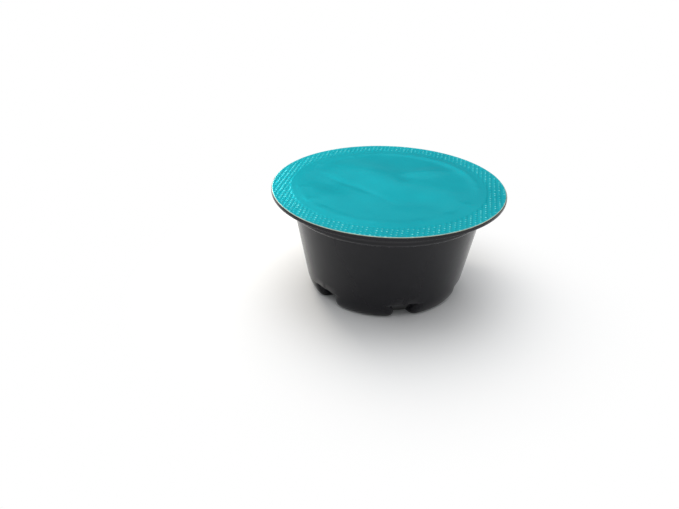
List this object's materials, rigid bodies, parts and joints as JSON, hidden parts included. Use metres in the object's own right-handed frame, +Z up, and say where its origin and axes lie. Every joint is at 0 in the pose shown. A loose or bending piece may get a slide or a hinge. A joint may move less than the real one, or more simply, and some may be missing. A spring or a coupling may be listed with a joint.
{
  "type": "coffee pod",
  "caption": "Round single-serve coffee pod: a tapered moulded cup with a wide flange, pockets round the edge of its base, a charge of coffee and a sealed foil lid.",
  "frame": {"origin": "middle of the flat base that the pod stands on", "axes": "+Z up along the pod's axis, with the foil lid on top; -Y towards the middle of one pocket in the edge of the base"},
  "size_m": [0.046, 0.046, 0.0223],
  "materials": {
    "black_plastic": "injection moulded, glossy wall and a fine leathery grain on the base",
    "ground_coffee": "matt ground coffee behind a thin filter paper",
    "teal_foil": "lacquered aluminium foil, satin, with an embossed seal band"
  },
  "bodies": {
    "root": {"cup": "black_plastic", "coffee": "ground_coffee", "lid_foil": "teal_foil"}
  },
  "joints": []
}
